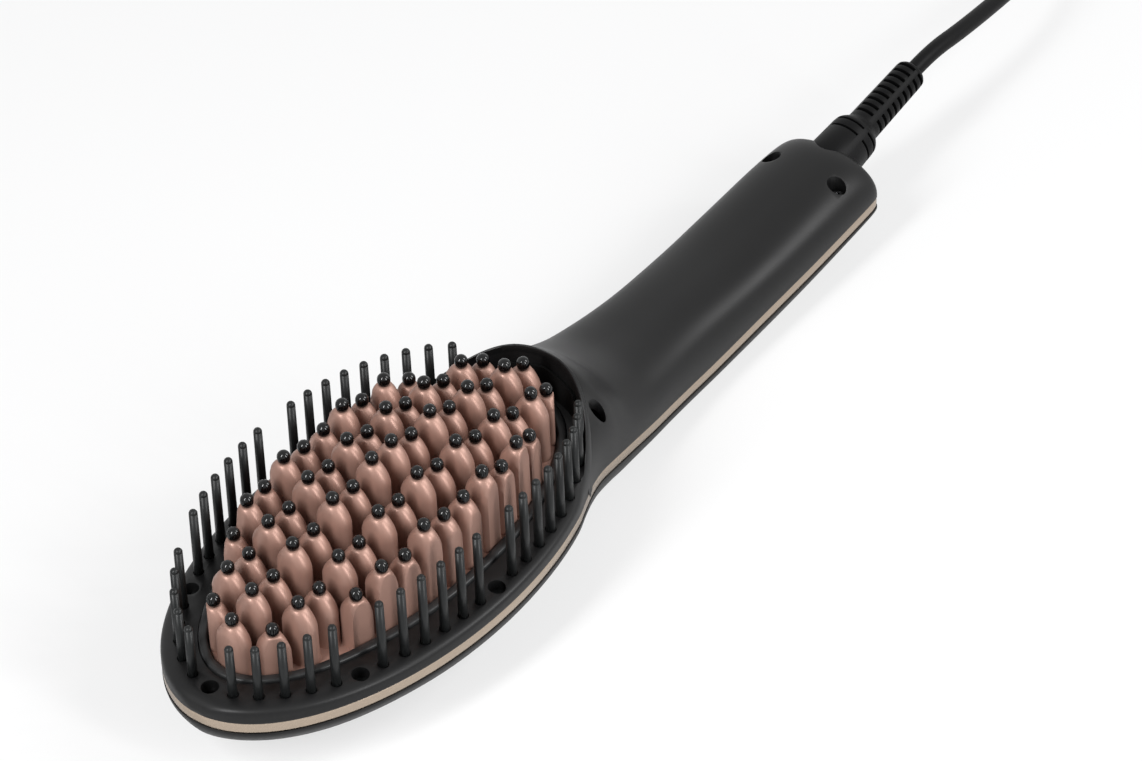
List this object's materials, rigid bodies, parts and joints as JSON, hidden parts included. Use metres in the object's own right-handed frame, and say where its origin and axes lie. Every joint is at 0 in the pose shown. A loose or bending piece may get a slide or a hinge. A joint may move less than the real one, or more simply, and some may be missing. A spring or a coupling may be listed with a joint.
{
  "type": "hair straightener brush",
  "caption": "Heated oval brush with a finned hot plate, ball-tipped teeth, a ring of cool guard bristles, controls on the handle's back, a swivel strain relief and a mains lead.",
  "frame": {"origin": "centre of the brush's bounding box in X and Y, on the surface that it lies on, with the lead and its boot left out", "axes": "+Z out of the bristle face, +Y from the head's tip to the cord end, +X to the right when looking along +Y"},
  "size_m": [0.0841, 0.5995, 0.0581],
  "materials": {
    "shell_front": "soft-touch matte charcoal",
    "shell_back": "soft-touch matte charcoal",
    "trim": "satin champagne",
    "liner": "matte black",
    "plate": "satin rose-brown ceramic coat",
    "ball": "gloss black",
    "bezel": "satin dark grey",
    "comb": "satin dark grey",
    "screw": "blackened",
    "heater": "plain",
    "mica": "flaky mineral sheet",
    "bracket": "pressed sheet",
    "sensor": "glazed",
    "fascia": "gloss black",
    "window": "smoked",
    "display": "plain",
    "button": "satin",
    "board": "solder mask",
    "wire": "insulation",
    "collar": "satin",
    "boot": "moulded",
    "cord": "smooth sheath",
    "plug": "moulded",
    "pin": "nickel plated"
  },
  "bodies": {
    "root": {"front_shell": "shell_front", "back_shell": "shell_back", "trim_strip": "trim", "hood_liner": "liner", "heater_plate": "plate", "ball_tips": "ball", "plate_bezel": "bezel", "guard_comb_right": "comb", "guard_comb_left": "comb", "deck_screws": "screw", "neck_screws": "screw", "end_screws": "screw", "ptc_heater": "heater", "mica_sheet": "mica", "heater_bracket": "bracket", "heat_shield": "bracket", "temperature_sensor": "sensor", "thermal_cutoff": "sensor", "fascia": "fascia", "display_window": "window", "display_module": "display", "tact_switches": "display", "control_board": "board", "mains_wires": "wire", "heater_wires": "wire", "swivel_collar": "collar", "cord_lead": "cord", "cord_coil": "cord", "plug_body": "plug", "plug_pins": "pin"},
    "power": {"power_button": "button"},
    "minus": {"minus_button": "button"},
    "plus": {"plus_button": "button"},
    "boot": {"cord_boot": "boot"}
  },
  "joints": [
    {"name": "power_press", "type": "slide", "parent": "root", "child": "power", "axis": [0, 0, 1], "range_m": [0, 0.0005], "stiffness_N_per_m": 800, "springref_m": -0.0004},
    {"name": "minus_press", "type": "slide", "parent": "root", "child": "minus", "axis": [0, 0, 1], "range_m": [0, 0.0005], "stiffness_N_per_m": 800, "springref_m": -0.0004},
    {"name": "plus_press", "type": "slide", "parent": "root", "child": "plus", "axis": [0, 0, 1], "range_m": [0, 0.0005], "stiffness_N_per_m": 800, "springref_m": -0.0004},
    {"name": "cord_swivel", "type": "hinge", "parent": "root", "child": "boot", "pos_m": [0, 0.13875, 0.022], "axis": [0, 0.9863, 0.165], "continuous": true}
  ]
}
